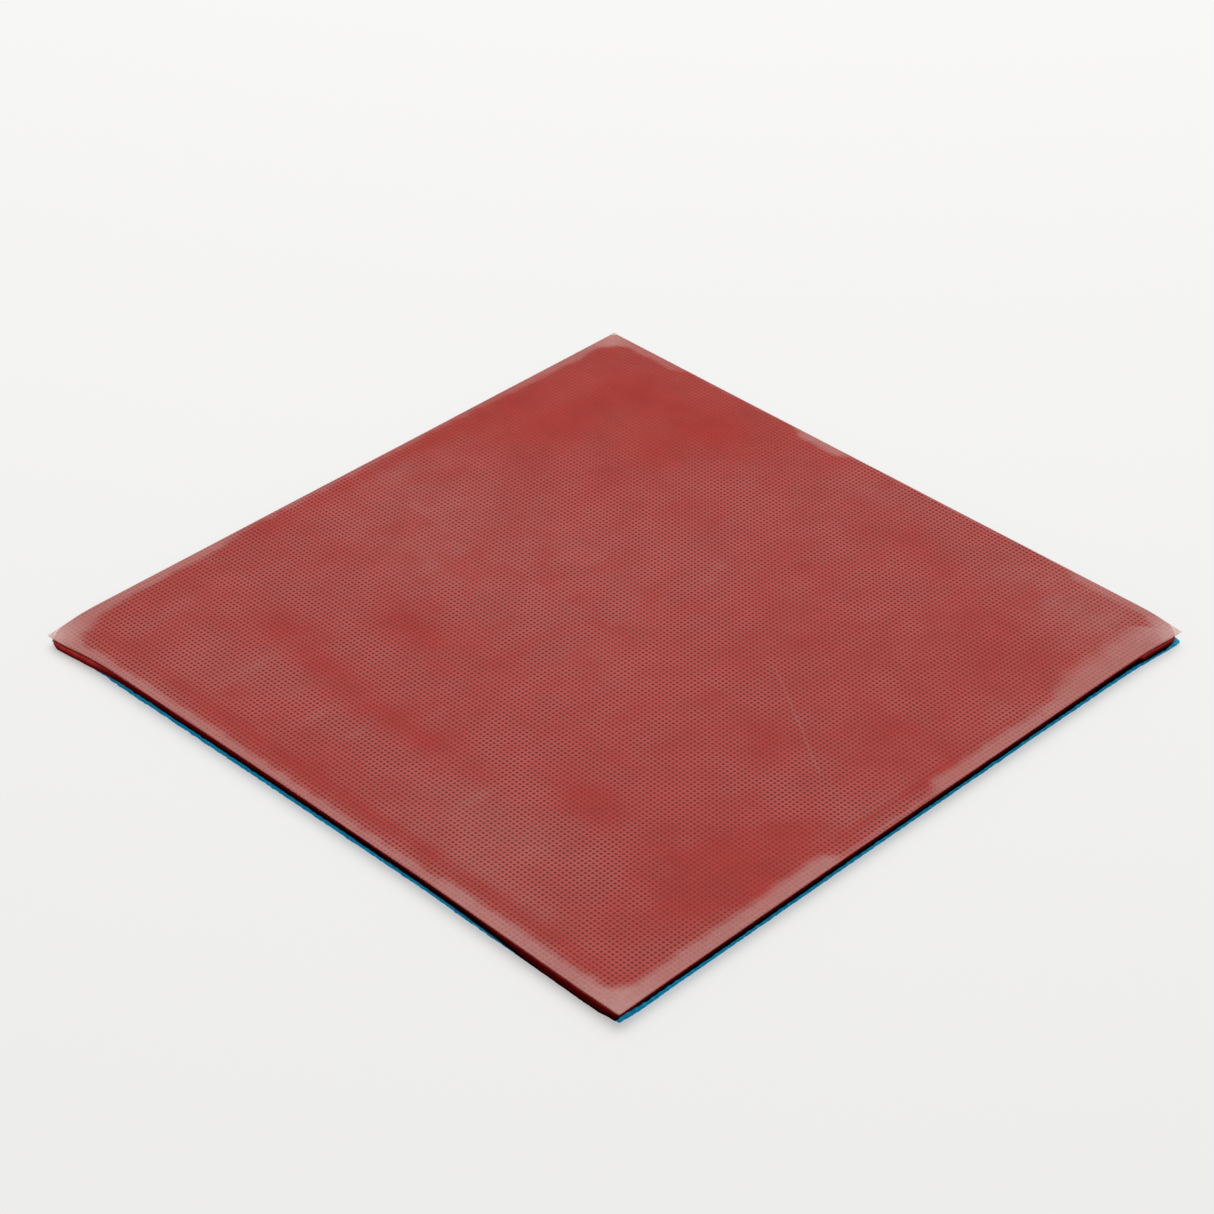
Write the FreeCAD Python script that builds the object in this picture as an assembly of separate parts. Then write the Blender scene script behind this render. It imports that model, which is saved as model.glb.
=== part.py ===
"""Table tennis rubber: an unmounted sheet of inverted sandwich rubber, as it comes out of its packet.

Four pieces lie on each other, from the bottom up: the sponge, the coat of cement on it, the
topsheet with its pimples turned inwards, and the clear film that protects the playing surface.
The origin is the centre of the sponge's underside, the face that is glued to the blade. +Z points
to the playing side, and the sheet's sides run along X and Y. Lengths are in millimetres.
"""
import FreeCAD, Part
import math
import os

from FreeCAD import Vector

# Plan of the sheet
sheet_width = 170.0        # along X
sheet_length = 170.0       # along Y
corner_radius = 2.5        # moulded round of the topsheet's corners, while film and sponge are cut square
sponge_inset = 0.4         # the sponge's edge lies this far inside the topsheet's

# Layers
sponge_thickness = 1.4
cement_thickness = 0.05
cement_inset = 0.45        # the cement's edge lies this far inside the topsheet's
base_thickness = 0.75      # the topsheet without its pimples
film_thickness = 0.1
film_clearance = 0.02      # air left under the film, which only clings

# Pimples, in staggered rows along X
pimple_height = 0.8
pimple_diameter = 1.7
pimple_pitch = 2.2         # from centre to centre, along a row and between rows alike
border_width = 0.9         # bare border of the base, round the pimple field
pimple_gap = 0.1           # least gap between that border and the outermost pimples

# Heights of the faces that the layers share
cement_bottom = sponge_thickness
cement_top = cement_bottom + cement_thickness
base_bottom = cement_top + pimple_height
base_top = base_bottom + base_thickness
film_bottom = base_top + film_clearance


def line(x1, y1, x2, y2, z):
    """A straight edge at height z."""
    return Part.LineSegment(Vector(x1, y1, z), Vector(x2, y2, z)).toShape()


def facing(face, z):
    """A level face, turned over if it points away from z, which is 1 for up and -1 for down."""
    return face if face.normalAt(0, 0).z * z > 0 else face.reversed()


def slab(width, length, bottom, thickness):
    """A flat sheet with square corners, centred on the Z axis."""
    return Part.makeBox(width, length, thickness, Vector(-width / 2, -length / 2, bottom))


def rounded_outline(width, length, radius, z):
    """A rectangle with round corners, centred on the Z axis, running counterclockwise."""
    a = width / 2 - radius
    b = length / 2 - radius
    arcs = []
    for x, y, start in ((a, -b, -90), (a, b, 0), (-a, b, 90), (-a, -b, 180)):
        at = [
            Vector(x + radius * math.cos(math.radians(t)), y + radius * math.sin(math.radians(t)), z)
            for t in (start, start + 45, start + 90)
        ]
        arcs.append((at, Part.Arc(*at).toShape()))
    edges = []
    for (at, arc), (following, _) in zip(arcs, arcs[1:] + arcs[:1]):
        edges.append(arc)
        edges.append(Part.LineSegment(at[-1], following[0]).toShape())
    return Part.Wire(edges)


def row_centres(room):
    """Places of the pimples along an even and an odd row, which are staggered by half a pitch."""
    stagger = pimple_pitch / 2
    count = int((room - pimple_diameter - stagger) // pimple_pitch) + 1
    first = -((count - 1) * pimple_pitch + stagger) / 2
    even = [first + i * pimple_pitch for i in range(count)]
    return even, [x + stagger for x in even]


def divider(lower, upper, y, row_pitch, half_x):
    """Edges between two rows of pimples, from left to right, whose middle line runs at y.

    One straight edge does where the rows leave room for it. Rows that interlock are parted by a
    zigzag through the points that lie equally far from the three pimples round them.
    """
    ends = [-half_x, half_x]
    points = [(x, y) for x in ends]
    if pimple_diameter >= row_pitch:
        swing = row_pitch / 6
        turns = sorted([(x, y + swing) for x in lower] + [(x, y - swing) for x in upper])
        points = [(ends[0], turns[0][1])] + turns + [(ends[1], turns[-1][1])]
    return [
        Part.LineSegment(Vector(*a, base_bottom), Vector(*b, base_bottom)).toShape()
        for a, b in zip(points, points[1:])
    ]


def pimple(x, y):
    """One pimple under the base: its circle on the base, its side and its tip."""
    radius = pimple_diameter / 2
    root = Part.Circle(Vector(x, y, base_bottom), Vector(0, 0, -1), radius).toShape()
    side = root.extrude(Vector(0, 0, -pimple_height)).Faces[0]
    low = [e for e in side.Edges if e.Closed and e.BoundBox.ZMax < base_bottom - pimple_height / 2]
    return Part.Wire([root]), side, Part.Face(Part.Wire([low[0]]))


def make_topsheet():
    """The base and its pimples, moulded in one.

    The underside is a border round the pimple field and one strip for each row of pimples. The
    strips share their edges, so the faces close into one shell with nothing fused.
    """
    row_pitch = pimple_pitch * math.sqrt(3) / 2
    half_x = sheet_width / 2 - border_width
    half_y = sheet_length / 2 - border_width
    even, odd = row_centres(2 * (half_x - pimple_gap))
    rows = int((2 * (half_y - pimple_gap) - pimple_diameter) // row_pitch) + 1
    rows_y = [(j - (rows - 1) / 2) * row_pitch for j in range(rows)]
    in_row = [odd if j % 2 else even for j in range(rows)]

    across = [[line(-half_x, -half_y, half_x, -half_y, base_bottom)]]
    for j in range(rows - 1):
        middle = rows_y[j] + row_pitch / 2
        across.append(divider(in_row[j], in_row[j + 1], middle, row_pitch, half_x))
    across.append([line(-half_x, half_y, half_x, half_y, base_bottom)])
    left_y = [edges[0].firstVertex().Y for edges in across]
    right_y = [edges[-1].lastVertex().Y for edges in across]
    left = [line(-half_x, a, -half_x, b, base_bottom) for a, b in zip(left_y, left_y[1:])]
    right = [line(half_x, a, half_x, b, base_bottom) for a, b in zip(right_y, right_y[1:])]

    faces = []
    for j in range(rows):
        back = [e.reversed() for e in reversed(across[j + 1])]
        wires = [Part.Wire(across[j] + [right[j]] + back + [left[j].reversed()])]
        for x in in_row[j]:
            root, side, tip = pimple(x, rows_y[j])
            wires.append(root)
            faces += [side, tip]
        faces.append(facing(Part.Face(wires), -1))

    outline = rounded_outline(sheet_width, sheet_length, corner_radius, base_bottom)
    down = [e.reversed() for e in reversed(right)]
    field = Part.Wire(left + across[-1] + down + [across[0][0].reversed()])  # clockwise, as a hole runs
    faces.append(facing(Part.Face([outline, field]), -1))
    base = facing(Part.Face(outline), 1).extrude(Vector(0, 0, base_thickness))
    middle = base_bottom + base_thickness / 2
    faces += [f for f in base.Faces if f.BoundBox.ZMax > middle]
    return Part.Solid(Part.Shell(faces))


def make_sponge():
    """The foam sheet, cut square and a little smaller than the topsheet."""
    inset = 2 * sponge_inset
    return slab(sheet_width - inset, sheet_length - inset, 0.0, sponge_thickness)


def make_cement_layer():
    """The coat of rubber cement that the pimple tips are bonded into."""
    inset = 2 * cement_inset
    return slab(sheet_width - inset, sheet_length - inset, cement_bottom, cement_thickness)


def make_protective_film():
    """The clear film over the playing surface, cut square to the sheet's size."""
    return slab(sheet_width, sheet_length, film_bottom, film_thickness)


os.makedirs("parts", exist_ok=True)
pieces = {
    "sponge": make_sponge(),
    "cement_layer": make_cement_layer(),
    "topsheet": make_topsheet(),
    "protective_film": make_protective_film(),
}
for name, solid in pieces.items():
    solid.exportStep(os.path.join("parts", name + ".step"))
    print(name, "valid", solid.isValid(), "volume", round(solid.Volume, 1), "mm3")
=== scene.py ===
"""Table tennis rubber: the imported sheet, with its four layers remade in finer detail.

Lengths are in millimetres until a mesh is made. X and Y run along the sheet's sides and +Z is the
playing side. Every height and width starts from the boxes of the CAD nodes.
"""
import math

import bpy
import numpy as np
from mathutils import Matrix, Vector


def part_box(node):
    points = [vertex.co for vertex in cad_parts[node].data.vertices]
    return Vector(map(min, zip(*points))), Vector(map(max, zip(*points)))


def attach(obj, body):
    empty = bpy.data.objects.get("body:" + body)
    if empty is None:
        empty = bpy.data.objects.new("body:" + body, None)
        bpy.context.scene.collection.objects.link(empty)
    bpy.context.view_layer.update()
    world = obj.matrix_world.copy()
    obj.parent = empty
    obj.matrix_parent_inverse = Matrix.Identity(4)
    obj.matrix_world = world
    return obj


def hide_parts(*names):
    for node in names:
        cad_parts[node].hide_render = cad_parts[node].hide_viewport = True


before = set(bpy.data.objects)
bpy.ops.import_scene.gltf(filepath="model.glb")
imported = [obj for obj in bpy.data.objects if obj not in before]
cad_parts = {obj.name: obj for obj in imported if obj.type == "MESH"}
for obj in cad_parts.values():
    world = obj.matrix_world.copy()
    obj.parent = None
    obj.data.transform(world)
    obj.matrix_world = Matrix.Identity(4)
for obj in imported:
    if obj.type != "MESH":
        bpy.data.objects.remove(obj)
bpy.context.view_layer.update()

MM = 0.001
PIMPLE_HEIGHT = 0.8
PIMPLE_RADIUS = 0.85
PIMPLE_PITCH = 2.2
PIMPLE_BORDER = 1.0        # from the sheet's edge to the outermost pimples
SIDE_ROUND = 3.7           # moulded round of the topsheet's left and right corner
END_ROUND = 1.6            # and of its near and far corner


def node_box(name):
    """Lowest and highest corner of a CAD node, in millimetres."""
    low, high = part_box(name)
    return np.array(low) / MM, np.array(high) / MM


sponge_low, sponge_high = node_box("sponge")
cement_low, cement_high = node_box("cement_layer")
topsheet_low, topsheet_high = node_box("topsheet")
film_low, film_high = node_box("protective_film")
HALF = film_high[0]                             # half the sheet's side
BASE_BOTTOM = topsheet_low[2] + PIMPLE_HEIGHT   # underside of the topsheet between its pimples


# ---------------------------------------------------------------- numbers over the sheet

def ease(low, high, value):
    """0 below low, 1 above high, and 3t^2 - 2t^3 between them."""
    t = np.clip((value - low) / (high - low), 0.0, 1.0)
    return t * t * (3.0 - 2.0 * t)


def spot(x, y, centre_x, centre_y, spread_x, spread_y):
    """A round or oval patch: exp(-u^2/2 - v^2/2), where each distance is over its own spread."""
    u = (x - centre_x) / spread_x
    v = (y - centre_y) / spread_y
    return np.exp(-0.5 * u ** 2 - 0.5 * v ** 2)


def read_off(table, place):
    """A value from a table of places and values, on straight lines between the places."""
    places, values = zip(*table)
    return np.interp(place, places, values)


def cloud(x, y, size, seed):
    """Soft random field from -1 to 1: random numbers on a lattice of that size, eased between."""
    numbers = np.random.default_rng(seed).uniform(-1.0, 1.0, (257, 257))
    u = np.mod(x / size, 256.0)
    v = np.mod(y / size, 256.0)
    i, j = np.floor(u).astype(int), np.floor(v).astype(int)
    a, b = ease(0.0, 1.0, u - i), ease(0.0, 1.0, v - j)
    near = numbers[i, j] * (1 - a) + numbers[i + 1, j] * a
    far = numbers[i, j + 1] * (1 - a) + numbers[i + 1, j + 1] * a
    return near * (1 - b) + far * b


# How far the sides stand out (+) or in (-) of the square: places along a side, and distances
BOW = {
    "front": ((-85, 0.1), (-60, 0.25), (-20, -0.28), (30, -0.5), (75, 0.03), (85, 0.0)),
    "right": ((-85, 0.0), (-70, -0.15), (-20, -0.2), (40, 0.1), (70, 0.25), (85, 0.1)),
}
# The same for the foam and its cement, measured from the topsheet
TRIM = {
    "front": ((-85, -0.3), (-83.5, -0.9), (-82, -1.1), (-77, -1.0), (-73, -0.5), (-70, -0.1),
              (-62, 0.2), (-20, 0.2), (30, 0.0), (60, 0.05), (79, 0.1), (85, -0.55)),
    "right": ((-85, -0.5), (-79, 0.0), (-70, -0.03), (-20, -0.05), (40, -0.05), (60, 0.1),
              (71, 0.2), (73, 0.4), (85, 0.4)),
}
SIDE_REACH = 7.0           # from the edge in to where a side's move has faded out
SIDE_BAND = 0.8            # from the edge in to where it is still whole


def reshape(points, sides):
    """Moves the front and the right side by their distances, with a smooth step in from the edge."""
    x, y = points[:, 0], points[:, 1]
    faded, whole = HALF - SIDE_REACH, HALF - SIDE_BAND
    result = points.copy()
    result[:, 0] = x + read_off(sides["right"], y) * ease(faded, whole, x)
    result[:, 1] = y - read_off(sides["front"], x) * ease(faded, whole, -y)
    return result


# Corners that lean over and hang: the corner, how far in along X and Y it bends, its tip's shift
DRAPE = (
    (-85, -85, 12.5, 5.5, (0.7, -1.6, -0.7)),
    (85, 85, 5.0, 9.5, (0.9, -0.9, -0.3)),
)
WAVE_SIZE = 23.0           # of the slight waves that the free sheet lies in
WAVE_DEPTH = 0.05


def settle(points):
    """Lays a flat layer as the free sheet lies, with two leaning corners and slight waves.

    Each corner moves by its shift times a bell shape, exp(-u^2 - v^2). What falls does so in
    proportion to z, because the layers get thinner there.
    """
    x, y, z = points[:, 0], points[:, 1], points[:, 2]
    result = points.copy()
    for corner_x, corner_y, reach_x, reach_y, shift in DRAPE:
        bell = np.exp(-((x - corner_x) / reach_x) ** 2 - ((y - corner_y) / reach_y) ** 2)
        fall = bell * z / film_high[2]
        result += np.stack([bell * shift[0], bell * shift[1], fall * shift[2]], axis=1)
    waves = 0.5 + 0.5 * cloud(x, y, WAVE_SIZE, 11)
    result[:, 2] -= WAVE_DEPTH * waves * ease(0.0, sponge_high[2], z)
    return reshape(result, BOW)


# ---------------------------------------------------------------- meshes

def make_piece(name, points, faces, materials, finish=None, smooth=True):
    """A mesh object at the origin, from points in millimetres, with a material number per face."""
    mesh = bpy.data.meshes.new(name)
    mesh.from_pydata((points * MM).tolist(), [], faces)
    for material in materials:
        mesh.materials.append(material)
    if finish is not None:
        mesh.polygons.foreach_set("material_index", np.asarray(finish, dtype=np.int32))
    mesh.polygons.foreach_set("use_smooth", np.full(len(mesh.polygons), smooth))
    mesh.update()
    piece = bpy.data.objects.new(name, mesh)
    bpy.context.scene.collection.objects.link(piece)
    return piece


def keep(piece, name, values):
    """Stores one number per point of a piece, for its material to read."""
    layer = piece.data.attributes.new(name, "FLOAT", "POINT")
    layer.data.foreach_set("value", np.asarray(values, dtype=np.float32))


def grid_lines(half, step, edge_step, edge_width):
    """Places along one side: even steps in the middle, and finer steps near both ends."""
    inner = half - edge_width
    middle = np.linspace(-inner, inner, int(round(2 * inner / step)) + 1)
    count = int(round(edge_width / edge_step))
    edge = inner + np.linspace(0.0, edge_width, count + 1)[1:]
    return np.concatenate([-edge[::-1], middle, edge])


def rim(shape):
    """Point numbers round a grid's outline, counterclockwise from its first corner."""
    index = np.arange(shape[0] * shape[1]).reshape(shape)
    return np.concatenate([index[:-1, 0], index[-1, :-1], index[:0:-1, -1], index[0, :0:-1]])


def ribbon(upper, lower):
    """Quads between two loops of point numbers, facing out when the loops run counterclockwise."""
    return np.stack([upper, lower, np.roll(lower, -1), np.roll(upper, -1)], axis=1)


def slab_mesh(top, bottom, sides):
    """A closed sheet: a top grid, a bottom grid, and loops of side points between their outlines."""
    shape = top.shape[:2]
    count = shape[0] * shape[1]
    index = np.arange(count).reshape(shape)
    corners = (index[:-1, :-1], index[1:, :-1], index[1:, 1:], index[:-1, 1:])
    cells = np.stack([c.ravel() for c in corners], axis=1)
    outline = rim(shape)
    loops = [outline]
    for k in range(len(sides)):
        loops.append(2 * count + k * len(outline) + np.arange(len(outline)))
    loops.append(count + outline)
    walls = [ribbon(upper, lower) for upper, lower in zip(loops, loops[1:])]
    points = np.concatenate([top.reshape(-1, 3), bottom.reshape(-1, 3)] + sides)
    faces = np.concatenate([cells, count + cells[:, ::-1]] + walls)
    wall_count = sum(len(w) for w in walls)
    finish = np.repeat([0, 1, 2], [len(cells), len(cells), wall_count])
    return points, faces.tolist(), finish


def flat_grid(lines, z):
    """A level grid of points at height z."""
    x, y = np.meshgrid(lines, lines, indexing="ij")
    return np.stack([x, y, np.full_like(x, z)], axis=-1)


def shrink(points, inset):
    """Draws a level outline in by an inset, by scaling it about the sheet's middle."""
    result = points.copy()
    result[..., :2] *= 1.0 - inset / HALF
    return result


def corner_round(x, y):
    """Radius of the nearest corner: one for the side corners, where x y > 0, one for the others."""
    return np.where(x * y > 0, SIDE_ROUND, END_ROUND)


def round_corners(points, extra=0.0):
    """Turns the square corners of a grid into quarter circles.

    In a corner square, with (a, b) from 0 to 1, a point moves to (a, b) max(a, b) / hypot(a, b).
    """
    result = points.copy()
    radius = corner_round(points[..., 0], points[..., 1]) + extra
    inner = HALF - radius
    a = np.clip((np.abs(points[..., 0]) - inner) / radius, 0.0, None)
    b = np.clip((np.abs(points[..., 1]) - inner) / radius, 0.0, None)
    inside = (a > 0) & (b > 0)
    pull = np.where(inside, np.maximum(a, b) / np.maximum(np.hypot(a, b), 1e-9), 1.0)
    for axis, share in ((0, a), (1, b)):
        moved = np.sign(points[..., axis]) * (inner + share * pull * radius)
        result[..., axis] = np.where(inside, moved, points[..., axis])
    return result


# ---------------------------------------------------------------- shader maths

class Amount:
    """A socket that carries a number. Arithmetic on it adds Math nodes to its finish."""

    def __init__(self, finish, socket):
        self.finish = finish
        self.socket = socket

    def math(self, operation, *values):
        inputs = {i: v for i, v in enumerate(values)}
        return self.finish.node("Math", {"operation": operation}, inputs)

    def __add__(self, other):
        return self.math("ADD", self, other)

    def __radd__(self, other):
        return self.math("ADD", other, self)

    def __sub__(self, other):
        return self.math("SUBTRACT", self, other)

    def __rsub__(self, other):
        return self.math("SUBTRACT", other, self)

    def __mul__(self, other):
        return self.math("MULTIPLY", self, other)

    def __rmul__(self, other):
        return self.math("MULTIPLY", other, self)

    def __truediv__(self, other):
        return self.math("MULTIPLY", self, 1.0 / other)

    def cosine(self):
        return self.math("COSINE", self)

    def eased(self, low, high):
        """0 below low and 1 above high, with a smooth step between."""
        inputs = {"Value": self, "From Min": low, "From Max": high}
        return self.finish.node("MapRange", {"interpolation_type": "SMOOTHSTEP"}, inputs)


class Finish:
    """A material, built from nodes. node() adds any node: its settings first, then its sockets."""

    def __init__(self, name):
        self.material = bpy.data.materials.new(name)
        self.material.use_nodes = True
        self.tree = self.material.node_tree
        self.tree.nodes.clear()

    def node(self, kind, settings=None, inputs=None, output=0):
        made = self.tree.nodes.new("ShaderNode" + kind)
        for key, value in (settings or {}).items():
            setattr(made, key, value)
        for key, value in (inputs or {}).items():
            if isinstance(value, Amount):
                self.tree.links.new(value.socket, made.inputs[key])
            else:
                made.inputs[key].default_value = value
        return Amount(self, made.outputs[output])

    def stored(self, name):
        """A number stored on the piece's points."""
        return self.node("Attribute", {"attribute_name": name}, output="Fac")

    def place(self):
        """Where a point lies on the object, as a vector in metres."""
        return self.node("TexCoord", output="Object")

    def plan(self, place):
        """A place's distances along X and along Y, in millimetres."""
        return [self.node("SeparateXYZ", None, {0: place}, output=k) / MM for k in range(2)]

    def noise(self, vector, per_mm, detail=3.0, roughness=0.55, stretch=(1.0, 1.0, 1.0)):
        """Noise from about 0.2 to 0.8, with a scale in cycles per millimetre."""
        scaled = self.node("Mapping", None, {"Vector": vector, "Scale": stretch})
        inputs = {"Vector": scaled, "Scale": per_mm / MM, "Detail": detail, "Roughness": roughness}
        return self.node("TexNoise", None, inputs)

    def blend(self, factor, low, high):
        """A colour between two colours."""
        low = low if isinstance(low, Amount) else (*low, 1.0)
        high = high if isinstance(high, Amount) else (*high, 1.0)
        return self.node("Mix", {"data_type": "RGBA"}, {0: factor, 6: low, 7: high}, output=2)

    def bump(self, height, distance_mm, strength=1.0):
        """A normal from a height between 0 and 1, which stands for a depth in millimetres."""
        inputs = {"Height": height, "Distance": distance_mm * MM, "Strength": strength}
        return self.node("Bump", None, inputs)

    def surface(self, inputs):
        """The Principled shader, wired to the output."""
        shader = self.node("BsdfPrincipled", None, inputs)
        result = self.tree.nodes.new("ShaderNodeOutputMaterial")
        self.tree.links.new(shader.socket, result.inputs["Surface"])
        return self.material


# ---------------------------------------------------------------- finishes

EMBOSS_PITCH = 1.03        # of the film's lattice of dots
EMBOSS_TURN = -1.4         # degrees


def lattice(x, y):
    """1 on the film's pressed dots and 0 between them: the sum of two cosines, eased."""
    c = math.cos(math.radians(EMBOSS_TURN)) * 2 * math.pi / EMBOSS_PITCH
    s = math.sin(math.radians(EMBOSS_TURN)) * 2 * math.pi / EMBOSS_PITCH
    u = x * c + y * s
    v = y * c - x * s
    return (u.cosine() + v.cosine()).eased(-0.1, 1.0)


SCRATCH = (32.0, 14.0, 67.0, -8.0)   # X and Y of both ends of the one long scratch


def scratch(f, vector, x, y):
    """1 along the scratch: close to the line through its ends, and between them."""
    x1, y1, x2, y2 = SCRATCH
    length = math.hypot(x2 - x1, y2 - y1)
    c, s = (x2 - x1) / length, (y2 - y1) / length
    along = (x - x1) * c + (y - y1) * s
    across = (y - y1) * c - (x - x1) * s + (f.noise(vector, 0.06) - 0.5) * 3.0
    near = across.math("ABSOLUTE", across).eased(0.1, 0.35)
    return (1.0 - near) * along.eased(-1.0, 3.0) * (1.0 - along.eased(length - 6.0, length))


def embossed_film():
    """Clear release film, pressed with a fine lattice of dots.

    It shows the rubber where it touches and turns milky where it doesn't: opacity is the stored
    veil, plus the stored emboss between the dots.
    """
    f = Finish("clear_film_embossed")
    vector = f.place()
    x, y = f.plan(vector)
    dots = lattice(x, y)
    grain = f.noise(vector, 0.9, detail=4.0)
    specks = f.noise(vector, 0.8, detail=6.0, roughness=0.7).eased(0.66, 0.78)
    haze = f.stored("veil") + f.stored("emboss") * (1.0 - dots)
    alpha = haze * (0.72 + grain * 0.56) + specks * 0.03 + scratch(f, vector, x, y) * 0.05
    milky = f.blend(f.stored("milk"), (1.0, 0.64, 0.56), (1.0, 0.67, 0.61))
    return f.surface({
        "Base Color": f.blend(f.stored("bare"), milky, (0.66, 0.29, 0.24)),
        "Roughness": 0.42,
        "IOR": 1.3,
        "Alpha": alpha,
        "Normal": f.bump(dots, 0.01, 0.4),
    })


def plain_film(name, alpha, colour, roughness):
    """The film's underside or its cut edge, with a little grain."""
    f = Finish(name)
    grain = f.noise(f.place(), 1.5)
    return f.surface({
        "Base Color": f.blend(grain, colour, tuple(0.9 * c for c in colour)),
        "Roughness": roughness,
        "IOR": 1.3,
        "Alpha": (0.8 + grain * 0.4) * alpha,
    })


def rubber_face():
    """The playing surface. The film's dots have left a faint print in it where they pressed."""
    f = Finish("red_rubber_face")
    vector = f.place()
    mottle = f.noise(vector, 0.12, detail=5.0).eased(0.3, 0.7)
    grain = f.noise(vector, 2.4)
    clear = f.blend(mottle, (0.36, 0.010, 0.002), (0.40, 0.014, 0.004))
    ground = f.blend(mottle, (0.46, 0.038, 0.030), (0.52, 0.048, 0.040))
    printed = f.blend(lattice(*f.plan(vector)), ground, (0.14, 0.0005, 0.0005))
    return f.surface({
        "Base Color": f.blend(f.stored("print"), clear, printed),
        "Roughness": 0.42 + grain * 0.12,
        "Specular IOR Level": 0.08,
        "Normal": f.bump(grain, 0.02, 0.5),
    })


def rubber_edge():
    """The moulded side, the underside and the pimples: red darkened as painted shade, a painted
    highlight on the side, and black painted shade in the gap under the base.
    """
    f = Finish("red_rubber_edge")
    vector = f.place()
    mottle = f.noise(vector, 0.5, detail=5.0, stretch=(1.0, 1.0, 2.5)).eased(0.3, 0.7)
    grain = f.noise(vector, 2.4)
    # Painted shade: the face's red rubber, darkened for the sides, underside and pimples that the
    # overhead light hardly reaches
    dark = f.blend(mottle, (0.06, 0.0004, 0.0004), (0.12, 0.001, 0.001))
    # Painted highlight: a bright red stripe where the stored painted sheen is, for the glint of the
    # overhead light on the rim
    red = f.blend(f.stored("painted_sheen") * (0.55 + mottle * 0.45), dark, (0.85, 0.06, 0.055))
    # Black painted shade in the gap under the base, from the stored painted shade
    painted_shade = (f.stored("painted_shade") + (mottle - 0.5) * 0.3).eased(0.1, 0.9)
    return f.surface({
        "Base Color": f.blend(painted_shade, red, (0.003, 0.001, 0.001)),
        "Roughness": 0.35 + grain * 0.12,
        "Specular IOR Level": 0.0,
        "Normal": f.bump(grain, 0.05, 0.5),
    })


CELLS_PER_MM = 3.6         # of the foam


def blue_sponge():
    """Foam rubber, with fine open cells where it is cut, painted shade in their pores and under the
    topsheet's overhang, and painted light on the lit corner tips.
    """
    f = Finish("blue_sponge_cut")
    vector = f.place()
    cells = f.node("TexVoronoi", {"feature": "F1"}, {"Vector": vector, "Scale": CELLS_PER_MM / MM})
    mottle = f.noise(vector, 0.35, detail=4.0)
    skin = f.blend(mottle.eased(0.3, 0.7), (0.003, 0.31, 0.58), (0.008, 0.40, 0.72))
    # Darker blue in the middle of each cell: painted shade in the open pores
    foam = f.blend(cells.eased(0.1, 0.5), (0.001, 0.17, 0.33), skin)
    # Paler blue from the streaks and from the painted light on the corner tips
    foam = f.blend(f.stored("cut") * 0.45, foam, (0.06, 0.56, 0.86))
    # Black painted shade under the topsheet's overhang, from the stored painted shade
    painted_shade = (f.stored("painted_shade") + (mottle - 0.5) * 0.5).eased(0.3, 0.7)
    return f.surface({
        "Base Color": f.blend(painted_shade, foam, (0.004, 0.003, 0.003)),
        "Roughness": 0.85,
        "Specular IOR Level": 0.0,
        "Normal": f.bump(cells, 0.08, 0.6),
    })


def cement_black_painted_shade():
    """A thin coat of dried rubber cement, near-black as painted shade in the gap between topsheet and
    foam.
    """
    f = Finish("cement_coat_black_painted_shade")
    streaks = f.noise(f.place(), 0.4, stretch=(1.0, 4.0, 1.0))
    return f.surface({
        # Near-black: painted shade of the gap between topsheet and foam
        "Base Color": f.blend(streaks, (0.004, 0.003, 0.002), (0.012, 0.008, 0.006)),
        "Roughness": 0.6 + streaks * 0.2,
        "Specular IOR Level": 0.0,
    })


# ---------------------------------------------------------------- the protective film

# Where the film clings to the rubber and turns clear: middle, spreads and weight of each patch
CLINGING = (
    (-66, 52, 4.5, 12, 1.0), (-79, 45, 3, 14, 0.6), (-60, 70, 9, 4.5, 0.7), (-38, 71, 8, 5, 0.9),
    (-41, 48, 4, 16, 0.8), (-81, 5, 1.5, 28, 0.7), (24, 68, 10, 4, 0.7), (45, 25, 30, 26, 0.35),
    (60, 55, 15, 7, 0.45), (70, 18, 7, 18, 0.5), (49, -6, 6, 6, 0.7), (73, -35, 6, 11, 1.5),
    (67, -51, 10, 6, 0.8), (38, -45, 6, 3.5, 1.0), (45, -34, 20, 11, 0.4), (-31, -30, 9, 5, 0.9),
    (-48, -49, 6, 4, 0.9), (-33, -53, 9, 3, 0.9), (-12, -55, 10, 3, 0.8), (10, -55, 9, 3, 0.5),
    (0, -42, 6, 8, 0.3), (-10, -73, 22, 4, 0.6), (0, -78.5, 60, 1.6, 0.9), (-79, -50, 3.5, 25, 0.4),
    (-66, -71, 5, 6, 0.5), (68, -66, 8, 6, 0.4), (80.3, 4, 0.7, 20, 0.8), (-12, 55, 12, 10, 0.2),
    (20, 2, 12, 12, 0.2),
)
# Where it stands off the rubber and is hazier
LIFTED = (
    (-76, 9, 2.2, 6, 1.2), (-64, 3, 14, 12, 0.5), (-48, -11, 7, 7, 0.7), (-30, 15, 8, 4, 0.6),
    (6, -12, 6, 4, 0.4), (48, 73, 4, 4, 0.8), (68, 74, 11, 7, 1.3), (5, 77, 7, 2.5, 0.6),
    (76, 38, 3, 14, 0.4), (78, -8, 2, 8, 0.7), (24, -68, 14, 7, 0.6), (38, -60, 9, 3, 0.4),
    (48, -75, 14, 2, 0.8), (-72, -58, 1.5, 7, 0.6), (-46, -70, 12, 6, 0.35), (-22, -6, 20, 14, 0.2),
    (0, 32, 1.2, 1.2, 0.9), (2.5, 27, 1.2, 1.2, 0.9), (-44, -62, 0.9, 3.5, 1.0), (-31, -61, 0.9, 4, 1.0),
    (-22, -66, 0.9, 3, 0.9), (-12, -64, 0.9, 3, 0.9), (20.5, -58, 0.9, 3, 0.9),
)
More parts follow.
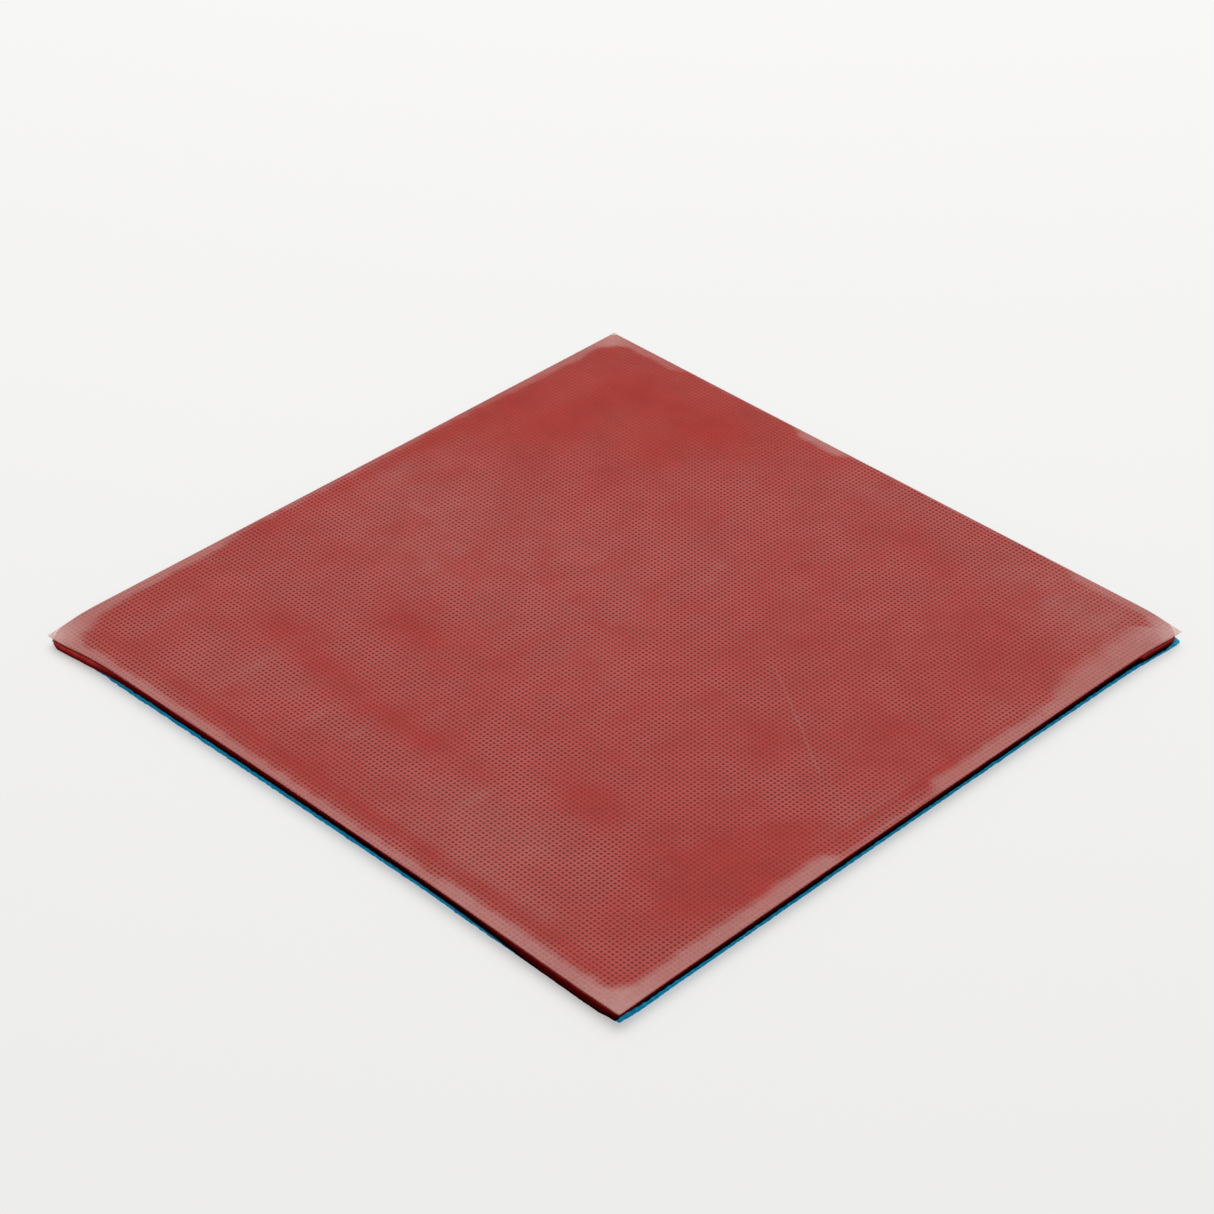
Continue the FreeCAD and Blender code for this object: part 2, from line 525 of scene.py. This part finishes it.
# Milky border strips: for each side, places along it with the strip's width and strength there
BORDER = {
    "right": ((-85, 4, 1.75), (-72, 4, 1), (-25, 4, 1), (-22, 1.4, 0.5), (4, 1.4, 0.4),
              (8, 3.5, 0.8), (45, 3.5, 0.8), (55, 7, 0.75), (85, 7, 0.8)),
    "front": ((-85, 5, 0.75), (-76, 2.5, 0.85), (33, 2.5, 0.8), (36, 3.5, 1), (72, 3.5, 1),
              (85, 4, 1.7)),
    "left": ((-85, 6, 0.75), (-70, 3, 0.85), (-40, 2.5, 0.8), (-34, 1.5, 0.45), (45, 1.5, 0.4),
             (52, 2.5, 0.6), (75, 2.5, 0.8), (85, 3.5, 1.5)),
    "back": ((-85, 3.5, 1.5), (-78, 2.5, 0.8), (-64, 2.5, 0.6), (-60, 0.8, 0.3), (-26, 0.8, 0.3),
             (-22, 2.5, 1), (-11, 2.5, 1), (-8, 0.8, 0.3), (54, 0.8, 0.3), (58, 2.5, 0.7),
             (85, 2.5, 0.7)),
}
BORDER_ROUND = 9.0         # radius of the milky border's inner corners
BORDER_VEIL = 0.215        # the border's opacity
TIP_VEIL = 0.36            # what the tips of the left and the right corner have on top of that
TIP_SPREAD = 3.6
BARE_VEIL = 0.8            # opacity where no rubber lies under the film
BARE_FADE = 0.32           # what that loses per millimetre out from the rubber
DOT_VEIL = 0.052           # opacity between the dots


def border_haze(x, y):
    """Strength of the milky border: each side's own strip, with a round inner corner."""
    inner = HALF - BORDER_ROUND
    a, b = np.abs(x) - inner, np.abs(y) - inner
    outside = np.hypot(np.maximum(a, 0.0), np.maximum(b, 0.0)) + np.minimum(np.maximum(a, b), 0.0)
    depth = BORDER_ROUND - outside + 0.45 * cloud(x, y, 3.1, 21) + 0.3 * cloud(x, y, 1.1, 22)
    result = np.zeros_like(x)
    for name, across, along in (("right", x, y), ("front", -y, x), ("left", -x, y), ("back", y, x)):
        places, widths, levels = zip(*BORDER[name])
        width = np.interp(along, places, widths)
        strength = np.interp(along, places, levels) * (1.0 - ease(0.6, 1.35, depth / width))
        result = np.where(across >= np.abs(along) - 1e-6, np.maximum(result, strength), result)
    return result


def film_haze(x, y):
    """What the film shows at each point, worked out from its patches and its border.

    veil is its even haze, emboss its haze between the dots, milk how white the haze is, bare where
    no rubber lies under it, and print how plain its dots are on the rubber.
    """
    cling = sum(w * spot(x, y, cx, cy, sx, sy) for cx, cy, sx, sy, w in CLINGING)
    lift = sum(w * spot(x, y, cx, cy, sx, sy) for cx, cy, sx, sy, w in LIFTED)
    streaks = 0.25 * cloud(x, y * 0.35, 2.6, 35)
    cling = np.clip(cling * (1.0 + 0.35 * cloud(x, y, 5.0, 31) + streaks), 0.0, 1.0)
    lift = np.clip(lift * (1.0 + 0.4 * cloud(x, y, 4.0, 32) + 0.3 * cloud(x, y, 1.6, 36)), 0.0, 1.6)
    border = border_haze(x, y)
    blur = ease(0.0, 40.0, y - x - 70.0)
    ground = 1.0 + 0.2 * cloud(x, y, 14.0, 33) + 0.2 * cloud(x, y, 4.5, 34) + 0.6 * streaks
    tips = sum(spot(x, y, side * HALF, side * HALF, TIP_SPREAD, TIP_SPREAD) for side in (-1, 1))
    veil = (0.005 + 0.035 * lift + 0.01 * blur) * ground * (1.0 - 0.7 * cling)
    veil = veil + BORDER_VEIL * border + TIP_VEIL * tips
    contact = ground * (1.0 - 0.8 * cling) * (1.0 - 0.6 * blur)
    emboss = DOT_VEIL * contact * (1.0 - 0.5 * border)
    milk = np.clip(0.15 + border + 0.3 * lift, 0.0, 1.0)
    marks = ground * (1.0 - 0.55 * cling) * (1.0 - 0.75 * blur) * (1.0 - 0.5 * border)
    radius = corner_round(x, y)
    a, b = np.abs(x) - HALF + radius, np.abs(y) - HALF + radius
    beyond = np.where((a > 0) & (b > 0), np.hypot(a, b) - radius, -1.0)
    bare = ease(-0.1, 0.1, beyond)
    veil = veil + (BARE_VEIL - BARE_FADE * beyond - veil) * bare
    marks = np.clip(marks, 0.0, 1.0)
    return {"veil": veil, "emboss": emboss, "milk": milk, "bare": bare, "print": marks}


def make_film():
    """The film: a closed slab as thick as the CAD's, laid as the sheet under it lies."""
    lines = grid_lines(HALF, 1.0, 0.4, 4.0)
    top = flat_grid(lines, film_high[2])
    bottom = flat_grid(lines, film_low[2])
    points, faces, finish = slab_mesh(top, bottom, [])
    materials = (
        embossed_film(),
        plain_film("clear_film_underside", 0.02, (0.95, 0.9, 0.88), 0.3),
        # The cut edge's pale pink is partly the film's own edge and partly a painted highlight along it
        plain_film("clear_film_cut_edge", 0.12, (0.95, 0.5, 0.45), 0.4),
    )
    piece = make_piece("film_sheet", settle(points), faces, materials, finish)
    for name, values in film_haze(points[:, 0], points[:, 1]).items():
        if name != "print":
            keep(piece, name, values)
    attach(piece, "film")
    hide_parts("protective_film")
    return piece


# ---------------------------------------------------------------- the topsheet

# Moulded lips under the base's border: places along the side, and the lip's lowest height there
FRONT_LIP = ((-85, 0.3), (-72, 0.4), (-64, 0.95), (-55, 1.5), (-20, 1.85), (10, 2.25), (45, 2.25),
             (60, 1.0), (84, 0.8), (85, 2.25))
RIGHT_LIP = ((71, 2.25), (71.5, 1.35), (85, 1.35))
LIP_WIDTH = 0.95
# How free of the black painted shade the front lip is: places along the side, and the share that stays
# red
FRONT_LIP_UNSHADED = ((-85, 1.0), (-74, 0.9), (-62, 0.45), (-20, 0.4), (20, 0.0), (50, 0.0), (65, 0.5),
               (85, 0.4))
# The side's loops, from the top down: how far down, height added, inset, bulge on a lip, and the
# painted highlight on the corner lips and elsewhere
SIDE_LOOPS = (
    (0.0, -0.03, 0.03, -0.1, 0.0, 0.15),
    (0.0, -0.12, 0.0, 0.0, 0.1, 0.45),
    (0.22, 0.0, 0.02, 0.2, 1.0, 0.1),
    (0.36, 0.0, 0.02, 0.3, 0.6, 0.0),
    (0.65, 0.0, 0.01, 0.35, 0.1, 0.0),
    (1.0, 0.14, 0.0, 0.15, 0.0, 0.0),
    (1.0, 0.03, 0.07, 0.0, 0.0, 0.0),
)
SIDE_WEAR = 0.04           # depth of the worn places on the side
TOP_INSET = 0.08           # from the side in to the flat top
BOTTOM_INSET = 0.16        # and to the underside


def underside(x, y):
    """Height of the topsheet's underside, which falls to the lips beside the two side corners."""
    front = 1.0 - ease(0.0, 0.35, y + HALF - LIP_WIDTH)
    right = 1.0 - ease(0.0, 0.35, HALF - x - LIP_WIDTH)
    front_drop = front * (BASE_BOTTOM - read_off(FRONT_LIP, x))
    right_drop = right * (BASE_BOTTOM - read_off(RIGHT_LIP, y))
    return BASE_BOTTOM - np.maximum(front_drop, right_drop)


def gap_painted_shade(points):
    """How much black painted shade lies on the rubber in the gap over the foam: all under the base, but
    less on the lips.

    Each share is a smooth step of height or of place along a side.
    """
    x, y, z = points[:, 0], points[:, 1], points[:, 2]
    low = 1.0 - ease(BASE_BOTTOM - 0.2, BASE_BOTTOM + 0.25, z)
    front = ease(HALF - 1.4, HALF - 1.0, -y) * read_off(FRONT_LIP_UNSHADED, x)
    right = ease(HALF - 1.4, HALF - 1.0, x) * ease(70.5, 71.5, y)
    unshaded = np.maximum(front, right * ease(1.4, 1.6, z))
    return low * (1.0 - 0.9 * unshaded) * (0.66 + 0.34 * ease(HALF - 5.0, HALF - 3.0, x))


def make_topsheet_skin(face, edge):
    """The topsheet without its pimples: a rounded square slab with softened edges.

    The side is a run of loops. Each is the outline drawn in by an inset, and pushed out on the lips
    by a bulge, at a share of the way from the top down to the underside.
    """
    lines = grid_lines(HALF, 1.0, 0.35, 4.2)
    grid = flat_grid(lines, topsheet_high[2])
    top = round_corners(shrink(grid, TOP_INSET))
    low = round_corners(grid)
    low[..., 2] = underside(low[..., 0], low[..., 1])
    bottom = shrink(low, BOTTOM_INSET)
    outline = rim(grid.shape[:2])
    edge_low = low.reshape(-1, 3)[outline]
    tall = (BASE_BOTTOM - edge_low[:, 2]) / BASE_BOTTOM
    painted_sheen = [np.zeros(2 * grid.shape[0] * grid.shape[1])]
    corner_lip = ease(1.72 * HALF, 1.84 * HALF, np.abs(edge_low[:, 0] + edge_low[:, 1]))
    sides = []
    for share, offset, inset, bulge, lip_shine, side_shine in SIDE_LOOPS:
        loop = shrink(edge_low, (inset - bulge * tall)[:, None])
        # Painted highlight: how bright this loop's painted stripe is
        shine = side_shine + (lip_shine - side_shine) * corner_lip
        painted_sheen.append(shine * (0.5 + 0.5 * tall))
        wear = SIDE_WEAR * (1.0 + cloud(loop[:, 0] + 3.0 * share, loop[:, 1], 1.3, 41))
        loop = shrink(loop, wear[:, None] if share > 0 else 0.0)
        loop[:, 2] = topsheet_high[2] * (1 - share) + edge_low[:, 2] * share + offset
        sides.append(loop)
    points, faces, finish = slab_mesh(top, bottom, sides)
    piece = make_piece("topsheet_skin", settle(points), faces, (face, edge, edge), finish)
    keep(piece, "print", film_haze(points[:, 0], points[:, 1])["print"])
    # Black painted shade under the base, with less on the lips
    keep(piece, "painted_shade", gap_painted_shade(points))
    keep(piece, "painted_sheen", np.concatenate(painted_sheen))
    return piece


def pimple_places():
    """Middles of the pimples: rows along X, every other row shifted by half a pitch."""
    room = 2 * (HALF - PIMPLE_BORDER) - 2 * PIMPLE_RADIUS
    count = int((room - PIMPLE_PITCH / 2) // PIMPLE_PITCH) + 1
    row_pitch = PIMPLE_PITCH * math.sqrt(3) / 2
    rows = int(room // row_pitch) + 1
    i, j = np.meshgrid(np.arange(count), np.arange(rows), indexing="ij")
    first = -((count - 1) * PIMPLE_PITCH + PIMPLE_PITCH / 2) / 2
    x = first + i * PIMPLE_PITCH + (j % 2) * PIMPLE_PITCH / 2
    y = (j - (rows - 1) / 2) * row_pitch
    return x.ravel(), y.ravel()


PIMPLE_SIDES = 8
PIMPLE_TAPER = 0.06        # what a pimple's radius loses towards its tip
ROOT_DEPTH = 0.05          # how far a pimple's root reaches into the base


def make_pimples(edge):
    """Pimples: eight-sided posts from inside the base down to the cement.

    Each is one ring at the root and one at the tip, (r cos t, r sin t, z), closed at both ends.
    """
    x, y = pimple_places()
    corner = np.arange(PIMPLE_SIDES)
    turn = (corner + 0.5) * 2 * math.pi / PIMPLE_SIDES
    rings = (
        (PIMPLE_RADIUS, BASE_BOTTOM + ROOT_DEPTH),
        (PIMPLE_RADIUS - PIMPLE_TAPER, topsheet_low[2]),
    )
    points = np.empty((len(x), len(rings), PIMPLE_SIDES, 3))
    for k, (radius, z) in enumerate(rings):
        points[:, k, :, 0] = x[:, None] + radius * np.cos(turn)
        points[:, k, :, 1] = y[:, None] + radius * np.sin(turn)
        points[:, k, :, 2] = z
    start = len(rings) * PIMPLE_SIDES * np.arange(len(x))[:, None, None]
    walls = (start + ribbon(corner, PIMPLE_SIDES + corner)[None]).reshape(-1, 4)
    roots = (start[:, :, 0] + corner).tolist()
    tips = (start[:, :, 0] + PIMPLE_SIDES + corner[::-1]).tolist()
    faces = walls.tolist() + roots + tips
    points = points.reshape(-1, 3)
    piece = make_piece("topsheet_pimples", settle(points), faces, (edge,), smooth=False)
    # Black painted shade on the pimples, which stand in the gap
    keep(piece, "painted_shade", gap_painted_shade(points))
    return piece


def make_topsheet():
    """The red topsheet: skin and pimples."""
    edge = rubber_edge()
    for piece in (make_topsheet_skin(rubber_face(), edge), make_pimples(edge)):
        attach(piece, "pad")
        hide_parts("topsheet")


# ---------------------------------------------------------------- cement and sponge

CEMENT_EXTRA_ROUND = 1.0   # what the coat's corners are rounder by than the topsheet's


def make_cement(coat):
    """The coat of cement: a thin slab."""
    lines = grid_lines(cement_high[0], 2.0, 0.5, 8.0)
    top = round_corners(flat_grid(lines, cement_high[2]), CEMENT_EXTRA_ROUND)
    bottom = round_corners(flat_grid(lines, cement_low[2]), CEMENT_EXTRA_ROUND)
    points, faces, _ = slab_mesh(top, bottom, [])
    piece = make_piece("cement_coat", settle(reshape(points, TRIM)), faces, (coat,))
    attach(piece, "pad")
    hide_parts("cement_layer")


SPONGE_STEP = 0.4          # spacing of the points round the sponge's edge


def square_loop(half, count):
    """Points round a square, counterclockwise from its first corner, with unit normals."""
    t = np.linspace(-half, half, count + 1)[:-1]
    edge = np.full(count, half)
    none, one = np.zeros(count), np.ones(count)
    x = np.concatenate([t, edge, -t, -edge])
    y = np.concatenate([-edge, t, edge, -t])
    out_x = np.concatenate([none, one, none, -one])
    out_y = np.concatenate([-one, none, one, none])
    return x, y, out_x, out_y


# Black painted shade on the foam's cut side under the topsheet's overhang: places along a side, and the
# height down to which it reaches
FOAM_SHADE_REACH = {
    "front": ((-85, 1.7), (-82, 1.6), (-80, 0.95), (-20, 0.95), (30, 0.85), (48, 0.6), (63, -0.2),
              (82, -0.2), (84.4, 1.7)),
    "right": ((-85, 1.7), (-79, 1.35), (-68, 1.0), (-50, 0.87), (70, 0.87), (72, 0.7), (80, 0.6),
              (83, 1.7)),
}


def overhang_painted_shade(points):
    """1 where the black painted shade covers the foam's side and 0 below, with a soft lower edge."""
    x, y, z = points[:, 0], points[:, 1], points[:, 2]
    outer = sponge_high[0] - 0.6
    drop = 0.08 * cloud(x * 2.0, y * 2.0, 1.5, 81)
    front = np.where(-y > outer, z - read_off(FOAM_SHADE_REACH["front"], x), -1.0)
    right = np.where(x > outer, z - read_off(FOAM_SHADE_REACH["right"], y), -1.0)
    return ease(-0.12, 0.12, np.maximum(front, right) + drop)


def pale_streaks_and_lit_tips(points):
    """Paler slanted streaks, one for each row of pimples, as a steep cosine, and painted light on the
    tips of the two side corners.
    """
    x, y, z = points[:, 0], points[:, 1], points[:, 2]
    along = np.where(np.abs(x) > np.abs(y), y, x)
    slant = 0.9 * z
    wander = 0.5 * cloud(along, 0.0 * z, 9.0, 91)
    phase = np.cos(2 * math.pi * (along + slant + wander) / PIMPLE_PITCH)
    strength = 0.35 + 0.65 * ease(0.0, 60.0, x)
    patches = 0.6 + 0.4 * cloud(x * 2.0, y * 2.0, 1.7, 92)
    # Painted light: the foam's top is lit at the tips of the two side corners
    tips = ease(HALF - 3.0, HALF - 1.0, np.minimum(np.abs(x), np.abs(y))) * (x * y > 0)
    return 1.6 * tips + (1.0 - tips) * strength * ease(0.3, 1.0, phase) * patches


CUT_LEVELS = (1.0, 0.93, 0.8, 0.65, 0.5, 0.35, 0.2, 0.08, 0.0)   # heights of the cut side's loops
FACE_INSETS = (0.35, 1.0, 2.5, 6.0, 12.0, 26.0)                  # of the rings on both faces
MARK_DEPTH = 0.1           # of the cutting marks
TIP_THINNING = 0.45        # share of its height that the foam loses at the two side corners
LEFT_TIP_LIFT = 0.75


def cut_side():
    """The foam's cut side: a stack of loops from the top down.

    Each loop is pushed out or in by the cutting marks, cos(2 pi s / pitch), by a ragged edge and by
    the cells that the cut opened, and stays inside the sheet's outline.
    """
    half, top = sponge_high[0], sponge_high[2]
    x, y, out_x, out_y = square_loop(half, int(round(2 * half / SPONGE_STEP)))
    along = np.where(out_x == 0, x, y)
    marks = MARK_DEPTH * np.cos(2 * math.pi * along / PIMPLE_PITCH)
    loops = []
    for k, level in enumerate(CUT_LEVELS):
        ragged = cloud(along * 3.0, 9.0 * k + 40.0 * out_x + 90.0 * out_y, 1.7, 51 + k)
        cells = cloud(along * 3.0, 7.0 * k + 30.0 * out_x + 70.0 * out_y, 0.9, 61 + k)
        fringe = np.where(out_y < 0, 0.09, 0.04) * (1.0 - ease(45.0, 60.0, -y * x / half))
        fringe = fringe * (1.0 - level) ** 2 * (1.0 + cloud(along, 0.0 * along + 5.0 * k, 0.8, 71))
        push = 0.05 * ragged + 0.04 * cells + fringe + marks * level * 0.4 - 0.1 * (k == 0)
        push = np.minimum(push, HALF - half - 0.02)
        height = np.full_like(x, top * level)
        loops.append(np.stack([x + out_x * push, y + out_y * push, height], axis=1))
    return loops


def face_rings(height):
    """Rings of one of the foam's level faces, each a square drawn in by its inset."""
    half = sponge_high[0]
    x, y, _, _ = square_loop(half, int(round(2 * half / SPONGE_STEP)))
    rings = []
    for inset in FACE_INSETS:
        scale = 1.0 - inset / half
        rings.append(np.stack([x * scale, y * scale, np.full_like(x, height)], axis=1))
    return rings


def thin_tips(points):
    """Thins the foam at the tips of the left and the right corner, and lifts the left one."""
    x, y = points[:, 0], points[:, 1]
    left, right = (spot(x, y, side * HALF, side * HALF, 1.6, 1.6) for side in (-1, 1))
    result = points.copy()
    result[:, 2] *= 1.0 - TIP_THINNING * (left + right)
    result[:, 2] += LEFT_TIP_LIFT * left
    return result


def make_sponge():
    """The foam sheet, cut with a blade: its cut side between the rings of its two faces."""
    rings = face_rings(sponge_high[2])[::-1] + cut_side() + face_rings(0.0)
    size = len(rings[0])
    points = np.concatenate(rings)
    loops = np.arange(len(points)).reshape(len(rings), size)
    faces = np.concatenate([ribbon(upper, lower) for upper, lower in zip(loops, loops[1:])]).tolist()
    faces += [loops[0].tolist(), loops[-1][::-1].tolist()]
    shaped = settle(reshape(thin_tips(points), TRIM))
    piece = make_piece("sponge_sheet", shaped, faces, (blue_sponge(),))
    # Black painted shade on the cut side under the overhang
    keep(piece, "painted_shade", overhang_painted_shade(points))
    # Paler streaks, and painted light on the tips of the two side corners
    keep(piece, "cut", pale_streaks_and_lit_tips(points))
    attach(piece, "pad")
    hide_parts("sponge")


film_sheet = make_film()
make_topsheet()
make_cement(cement_black_painted_shade())
make_sponge()


# ---------------------------------------------------------------- floor, light and camera

FLOOR_HALF = 3000.0        # half the floor's side
FLOOR_DROP = 0.02          # gap between the floor and the sheet


def make_floor():
    """A plain pale floor. It glows a little, so that the shadows stay light."""
    f = Finish("pale_floor")
    material = f.surface({
        "Base Color": (0.5, 0.498, 0.494, 1.0),
        "Roughness": 0.9,
        "Specular IOR Level": 0.1,
        "Emission Color": (1.0, 0.995, 0.985, 1.0),
        "Emission Strength": 0.43,
    })
    signs = np.array([(-1, -1), (1, -1), (1, 1), (-1, 1)])
    corners = np.column_stack([FLOOR_HALF * signs, np.full(4, -FLOOR_DROP)])
    make_piece("floor", corners, [[0, 1, 2, 3]], (material,), smooth=False)


def make_light(name, place, aim, size, power):
    """A soft square lamp."""
    lamp = bpy.data.lights.new(name, "AREA")
    lamp.shape = "SQUARE"
    lamp.size = size
    lamp.energy = power
    holder = bpy.data.objects.new(name, lamp)
    holder.location = place
    holder.rotation_euler = (Vector(aim) - Vector(place)).to_track_quat("-Z", "Y").to_euler()
    bpy.context.scene.collection.objects.link(holder)


def make_surroundings():
    """Even white light from all round."""
    world = bpy.data.worlds.new("studio")
    bpy.context.scene.world = world
    world.use_nodes = True
    background = world.node_tree.nodes["Background"]
    background.inputs["Color"].default_value = (1.0, 0.997, 0.99, 1.0)
    background.inputs["Strength"].default_value = 0.3


CAMERA_AZIMUTH = 44.879    # degrees from -Y towards +X
CAMERA_ELEVATION = 36.055  # degrees
CAMERA_DISTANCE = 0.71928  # metres
CAMERA_AIM = (-6.584, 3.83)
FOCAL_LENGTH = 99.38


def make_camera():
    """The camera looks down on the near corner."""
    azimuth, elevation = math.radians(CAMERA_AZIMUTH), math.radians(CAMERA_ELEVATION)
    level = math.cos(elevation)
    aim = Vector((CAMERA_AIM[0] * MM, CAMERA_AIM[1] * MM, film_high[2] * MM))
    back = Vector((math.sin(azimuth) * level, -math.cos(azimuth) * level, math.sin(elevation)))
    lens = bpy.data.cameras.new("camera")
    lens.lens = FOCAL_LENGTH
    lens.sensor_width = 36.0
    lens.clip_start = 0.01
    camera = bpy.data.objects.new("camera", lens)
    camera.location = aim + back * CAMERA_DISTANCE
    camera.rotation_euler = (-back).to_track_quat("-Z", "Y").to_euler()
    bpy.context.scene.collection.objects.link(camera)
    bpy.context.scene.camera = camera


make_floor()
make_surroundings()
make_light("overhead", (-0.45, 0.55, 1.35), (0.0, 0.0, 0.0), 1.6, 21.5)
make_camera()
bpy.context.scene.view_settings.view_transform = "Standard"
